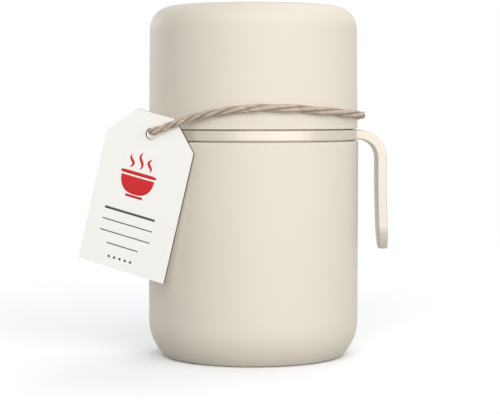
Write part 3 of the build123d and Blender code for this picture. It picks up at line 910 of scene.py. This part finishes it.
@dataclass
class TwineTie:
    """The twine round the cap: its route, its strands and stray fibres, and the knot behind."""

    finish: Finish = Jute("jute", (0.52, 0.415, 0.315), 0.85)
    diameter: float = 3 * MM
    length: float = 305 * MM
    knot_centre: Triple = (0.0, 50.8 * MM, 106.4 * MM)
    knot_radius: float = 3 * MM
    knot_length: float = 9.6 * MM
    knot_turns: float = 4.0
    wrap_radius: float = 1.2 * MM
    # azimuth in degrees from the front towards the handle, distance from the axis and height in mm
    route: tuple[Triple, ...] = (
        (174.4, 49.57, 106.5), (151.8, 49.54, 106.7), (129.4, 49.54, 107.0), (107.0, 49.54, 107.4),
        (84.6, 49.54, 107.8), (62.2, 49.54, 108.5), (39.8, 49.54, 109.7), (17.4, 49.54, 111.0),
        (-5.0, 49.54, 111.0), (-31.6, 50.45, 107.0), (-43.0, 54.54, 102.7), (-49.1, 58.80, 100.6),
        (-53.2, 52.25, 100.7), (-64.0, 49.95, 101.9), (-86.6, 49.50, 103.9), (-108.4, 49.50, 104.9),
        (-130.2, 49.50, 105.6), (-152.1, 49.50, 106.0), (-174.4, 49.57, 106.3),
    )

    def control_points(self) -> Array:
        """Return the route's points, in metres."""
        azimuth, radius, height = np.array(self.route).T
        angle = np.radians(azimuth)
        return np.stack([radius * np.sin(angle), -radius * np.cos(angle), height], axis=1) * MM

    def knot_line(self) -> Array:
        """Work out the line of the knot's wraps: a helix round an axis along X.

        Returns:
            Its points.
        """
        half = self.knot_length / 2 - self.wrap_radius
        share = np.linspace(-1, 1, 400)
        angle = share * self.knot_turns * math.pi
        reach = self.knot_radius - self.wrap_radius
        shape = np.stack([half * share, reach * np.cos(angle), reach * np.sin(angle)], axis=1)
        return shape + self.knot_centre

    def build(self, tag: Piece) -> None:
        """Make the twine, its fibres and its knot, and say how they lie.

        Args:
            tag: the card that hangs on the twine; not used.
        """
        jute = self.finish.material()
        line = spline_points(self.control_points())
        hole = np.linalg.norm(line[:, :2], axis=1).argmax()  # the line is furthest out at the tag
        main = TightRope(tight_at=arc_lengths(line)[hole])
        twine = make_piece("twine_strands", main.surfaces(line), jute)
        fluff = make_piece("twine_fibres", main.hairs(line), jute)
        packed = Rope(radius=self.wrap_radius, lay=9 * MM, upright=(1.0, 0.0, 0.0))
        wraps = packed.surfaces(self.knot_line())
        ends = []
        for lean in (-1, 1):
            tail = Tail(lean=lean)
            line_down = tail.line(self.knot_centre, self.knot_length / 4)
            wraps += tail.surfaces(line_down)
            ends += tail.fray(line_down)
        knot = make_piece("knot_wraps", wraps, jute)
        frayed = make_piece("knot_fray", ends, jute)
        for piece in (twine, fluff, knot, frayed):
            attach(piece, "tie")
            LOG.info("%s has %d faces", piece.name, len(piece.data.polygons))
        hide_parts("twine")
        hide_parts("twine_knot")


def spline_points(route: Array) -> Array:
    """Work out an open NURBS curve of order three.

    Args:
        route: its control points.

    Returns:
        Points along it.
    """
    curve = bpy.data.curves.new("route", "CURVE")
    curve.dimensions = "3D"
    spline = curve.splines.new("NURBS")
    spline.points.add(len(route) - 1)
    spline.points.foreach_set("co", np.hstack([route, np.ones((len(route), 1))]).ravel())
    spline.order_u = 3
    spline.use_endpoint_u = True
    spline.resolution_u = 24
    guide = bpy.data.objects.new("route", curve)
    mesh = bpy.data.meshes.new_from_object(guide)
    line = np.empty(len(mesh.vertices) * 3)
    mesh.vertices.foreach_get("co", line)
    bpy.data.objects.remove(guide)
    bpy.data.meshes.remove(mesh)
    bpy.data.curves.remove(curve)
    return line.reshape(-1, 3)


# ---- card tag ----


@dataclass
class TagPrint:
    """The card tag's finish, and what is printed on it: a steaming bowl over ruled lines.

    Places on the card are across and up from its pivot.
    """

    yaw: float = 20.0  # degrees that the card is turned round the jar, away from the handle
    roll: float = 14.1  # degrees that it hangs tipped in its own plane
    off: float = 47.65 * MM  # from the jar's axis to the card's middle, square to its faces
    along: float = -28.6 * MM  # from there to the pivot, level along the card
    pivot_height: float = 100.6 * MM
    thickness: float = 1.2 * MM
    ink_height: float = 0.03 * MM
    bowl_centre: Pair = (-1.6 * MM, -19.0 * MM)
    bowl_width: float = 17 * MM
    bowl_depth: float = 7.6 * MM
    rim_width: float = 1.5 * MM
    foot_half: float = 4.0 * MM
    foot_width: float = 1.1 * MM
    foot_drop: float = 10 * MM
    wisps: tuple[tuple[int, float], ...] = ((-1, 5.6 * MM), (0, 7.4 * MM), (1, 5.6 * MM))
    wisp_start: float = 2 * MM
    wisp_gap: float = 4.3 * MM
    wisp_width: float = 1.25 * MM
    wisp_sway: float = 0.85 * MM
    # how far below the bowl's rim each ruled line is, its length and its width, in millimetres
    ruled: tuple[Triple, ...] = (
        (17.5, 24.0, 1.0),
        (22.5, 24.0, 0.45),
        (27.5, 24.0, 0.45),
        (32.5, 15.0, 0.45),
    )
    diamonds: int = 5
    diamond: float = 1.4 * MM
    diamond_gap: float = 2.6 * MM
    diamond_drop: float = 38.0 * MM
    red: Colour = linear(206, 22, 32)
    grey: Colour = linear(74, 70, 68)

    def facing(self) -> Array:
        """Return the direction that the card faces."""
        turn = math.radians(self.yaw)
        return np.array([-math.sin(turn), -math.cos(turn), 0.0])

    def axes(self) -> tuple[Array, Array, Array]:
        """Work out how the card lies.

        Returns:
            Its middle at the pivot, and the directions across and up its face.
        """
        turn, tip = math.radians(self.yaw), math.radians(self.roll)
        level = np.array([math.cos(turn), -math.sin(turn), 0.0])
        pivot = self.facing() * self.off + level * self.along + np.array([0, 0, self.pivot_height])
        across = level * math.cos(tip) - np.array([0, 0, math.sin(tip)])
        return pivot, across, np.cross(self.facing(), across)

    def flat(self, across: Array, up: Array) -> Surface:
        """Put a surface of ink on the card's front.

        Args:
            across: how far across the card each place is.
            up: how far up it is.

        Returns:
            The surface, with the places as its pattern.
        """
        pivot, right, upward = self.axes()
        front = pivot + self.facing() * (self.thickness / 2 + self.ink_height)
        points = front + across[..., None] * right + up[..., None] * upward
        return Surface(points, np.stack([across, up], axis=-1), round_it=False)

    def stroke(self, across: Array, up: Array, width: Array) -> Surface:
        """Work out a brush stroke: a line's points, moved half its width to each side of it.

        Args:
            across: how far across the card each point of the line is.
            up: how far up it is.
            width: the stroke's width there.

        Returns:
            The stroke.
        """
        line = np.stack([across, up], axis=1)
        way = unit(np.gradient(line, axis=0))
        normal = np.stack([-way[:, 1], way[:, 0]], axis=1)
        edges = [line + side * width[:, None] / 2 * normal for side in (-1, 0, 1)]
        grid = np.stack(edges, axis=1)
        return self.flat(grid[..., 0], grid[..., 1])

    def bowl(self) -> list[Surface]:
        """Work out the bowl: a deep half round under a rim, on a foot, with a pale gap under the rim.

        Returns:
            Its three shapes.
        """
        x0, y0 = self.bowl_centre
        half = self.bowl_width / 2
        share = np.linspace(-1, 1, 49)[None, :]
        down = np.linspace(0, 1, 13)[:, None]
        depth = self.bowl_depth * np.sqrt(np.clip(1 - np.abs(share) ** 2.6, 0, 1))
        across = x0 + half * 0.93 * share * np.ones_like(down)
        body = self.flat(across, y0 - self.rim_width - depth * down)
        sides = np.linspace(-1, 1, 33)
        level = np.ones_like(sides)
        rim = self.stroke(x0 + half * sides, y0 * level, self.rim_width * np.sqrt(1 - sides**8 * 0.9))
        low = y0 - self.foot_drop
        foot = self.stroke(x0 + self.foot_half * sides, low * level, self.foot_width * level)
        return [body, rim, foot]

    def steam(self) -> list[Surface]:
        """Work out the wisps of steam: upright sine waves, thick in the middle and pointed.

        Returns:
            One stroke for each.
        """
        x0, y0 = self.bowl_centre
        share = np.linspace(0, 1, 41)
        found = []
        for number, height in self.wisps:
            sway = self.wisp_sway * np.sin(math.tau * share + 0.5 * number)
            width = self.wisp_width * np.sin(math.pi * np.clip(share, 0.02, 0.98)) ** 0.7
            up = y0 + self.wisp_start + height * share
            found.append(self.stroke(x0 + number * self.wisp_gap + sway, up, width))
        return found

    def rules(self) -> list[Surface]:
        """Work out the grey lines and the row of small diamonds below the bowl.

        Returns:
            One stroke for each.
        """
        x0, y0 = self.bowl_centre
        share = np.linspace(-0.5, 0.5, 9)
        level = np.ones_like(share)
        found = []
        for drop, length, width in self.ruled:
            up = (y0 - drop * MM) * level
            found.append(self.stroke(x0 + share * length * MM, up, width * MM * level))
        for number in range(self.diamonds):
            middle = x0 + (number - (self.diamonds - 1) / 2) * self.diamond_gap
            width = self.diamond * (1 - np.abs(2 * share)) + 0.02 * MM
            up = (y0 - self.diamond_drop) * level
            found.append(self.stroke(middle + share * self.diamond, up, width))
        return found

    def build(self, card: Piece) -> None:
        """Give the card its finish and print on it.

        Args:
            card: the card's object in the frame.
        """
        paper = Card("tag_card", linear(253, 251, 246), 0.8, vary=0.006,
                     facing=tuple(self.facing()), middle=self.off, half=self.thickness / 2)
        coat(card, paper.material())
        inks = (("tag_print_red", self.red, self.bowl() + self.steam()),
                ("tag_print_grey", self.grey, self.rules()))
        for name, colour, shapes in inks:
            piece = make_piece(name, shapes, Ink(name + "_ink", colour, 0.5, vary=0.04).material())
            body = piece.modifiers.new("ink_body", "SOLIDIFY")
            body.thickness = self.ink_height * 0.9
            body.offset = -1.0
            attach(piece, "tag")
            LOG.info("%s has %d faces", name, len(piece.data.polygons))


# ---- studio ----


@dataclass(frozen=True)
class Lamp:
    """A broad, distant lamp that lights the jar and the whole floor alike."""

    name: str
    azimuth: float  # degrees from the front, towards the handle
    elevation: float
    strength: float
    spread: float = 50.0  # how wide the lamp looks from the jar, in degrees

    def build(self) -> None:
        """Make the lamp."""
        light = bpy.data.lights.new(self.name, "SUN")
        light.energy = self.strength
        light.angle = math.radians(self.spread)
        turn, rise = math.radians(self.azimuth), math.radians(self.elevation)
        way = Vector((math.sin(turn) * math.cos(rise), -math.cos(turn) * math.cos(rise), math.sin(rise)))
        in_scene(self.name, light).rotation_euler = way.to_track_quat("Z", "Y").to_euler()


@dataclass
class Studio:
    """The camera, the floor, the white surroundings and the lamps."""

    eye: Triple = (-0.00148, -0.722, 0.1094)
    pitch: float = 3.4  # degrees below level
    lens: float = 115.7
    sensor: float = 36.0
    surround: float = 0.39  # how bright the surroundings light the jar
    floor_half: float = 0.6
    floor_seen: Colour = (1.23, 1.24, 1.26)  # to the camera and in reflections: white where it is lit
    floor_bounce: Colour = (0.42, 0.42, 0.42)  # its colour where its light falls on the jar
    lamps: tuple[Lamp, ...] = (
        Lamp("front", -2, 22, 1.35),
        Lamp("right", 41, 12, 1.19),
        Lamp("side_right", 100, 20, 0.12),
        Lamp("behind_right", 150, 56, 0.58, 40.0),
        Lamp("behind_left", -140, 10, 0.6, 16.0),
    )

    def camera(self) -> None:
        """Make the camera, level from side to side."""
        data = bpy.data.cameras.new("camera")
        data.lens = self.lens
        data.sensor_width = self.sensor
        data.clip_start, data.clip_end = 0.01, 50.0
        camera = in_scene("camera", data)
        camera.location = self.eye
        camera.rotation_euler = (math.radians(90 - self.pitch), 0.0, 0.0)
        bpy.context.scene.camera = camera

    def surroundings(self) -> None:
        """Make the world: white to the camera and in reflections, and a dim light on the jar."""
        world = bpy.data.worlds.new("surroundings")
        nodes = Nodes(world)
        light = [
            nodes.add("Background", {"Color": (1.0, 1.0, 1.0, 1.0), "Strength": strength}).outputs[0]
            for strength in (self.surround, 1.0)
        ]
        mix = nodes.add("MixShader", {0: nodes.seen(), 1: light[0], 2: light[1]})
        nodes.add("OutputWorld", {"Surface": mix.outputs[0]})
        bpy.context.scene.world = world

    def floor(self) -> None:
        """Make the floor: white where it is lit, with the jar's shadow kept."""
        half = self.floor_half
        mesh = bpy.data.meshes.new("floor")
        corners = [(-half, -half, 0.0), (half, -half, 0.0), (half, half, 0.0), (-half, half, 0.0)]
        mesh.from_pydata(corners, [], [(0, 1, 2, 3)])
        graph = Graph("floor_paper")
        graph.set("Base Color", graph.mixed(graph.seen(), self.floor_bounce, self.floor_seen))
        graph.set("Roughness", 1.0)
        graph.set("Specular IOR Level", 0.0)
        floor = in_scene("floor", mesh)
        coat(floor, graph.material)

    def build(self) -> None:
        """Make the whole studio."""
        self.camera()
        self.surroundings()
        self.floor()
        for lamp in self.lamps:
            lamp.build()
        bpy.context.scene.view_settings.view_transform = "Standard"


def main() -> None:
    """Load the frame, build the studio, and dress the jar, its twine and its tag."""
    logging.basicConfig(level=logging.INFO, format="%(name)s: %(message)s")
    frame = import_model()
    nodes = frame["nodes"]
    Studio().build()
    TwineTie().build(nodes["hang_tag"])
    dress = Dress(nodes)
    dress.apply()
    dress.load_spring()
    TagPrint().build(nodes["hang_tag"])
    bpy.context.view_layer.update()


if __name__ == "__main__":
    main()
